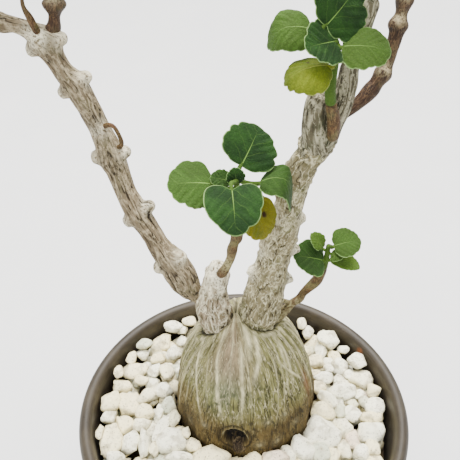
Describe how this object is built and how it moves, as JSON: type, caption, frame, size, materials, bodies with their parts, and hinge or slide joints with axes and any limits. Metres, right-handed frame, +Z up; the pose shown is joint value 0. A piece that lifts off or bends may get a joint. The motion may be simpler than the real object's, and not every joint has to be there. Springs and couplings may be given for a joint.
{
  "type": "potted plectranthus",
  "caption": "Caudex-forming plectranthus with a barrel-shaped base, bare branches and small scalloped leaves, in a round stoneware pot dressed with pumice.",
  "frame": {"origin": "on the ground at the pot's axis, under the middle of the foot ring", "axes": "+Z up along the pot's axis, +X to the right of the side that the picture shows, +Y away from that side"},
  "size_m": [0.1759, 0.12, 0.2728],
  "materials": {
    "stoneware": "unglazed brown stoneware with a soft sheen",
    "mesh_plastic": "dull dark green",
    "soil": "loose dark bark and peat mix",
    "pumice": "matt, creamy white, finely pitted",
    "bark": "matt bark, pale ridges over olive brown",
    "leaf_green": "velvety green with a pale edge",
    "leaf_yellow": "velvety fading yellow-green"
  },
  "bodies": {
    "root": {"pot": "stoneware", "drain_mesh": "mesh_plastic", "potting_soil": "soil", "pumice_bed": "pumice", "caudex_wood": "bark", "leaves_trunk": "leaf_green", "leaves_stub": "leaf_green", "leaves_low": "leaf_green", "leaves_left_arm": "leaf_green", "leaves_left_shoot": "leaf_green", "leaves_trunk_top": "leaf_green", "leaves_side_branch": "leaf_green", "yellow_leaf_trunk": "leaf_yellow", "yellow_leaf_stub": "leaf_yellow"}
  },
  "joints": []
}
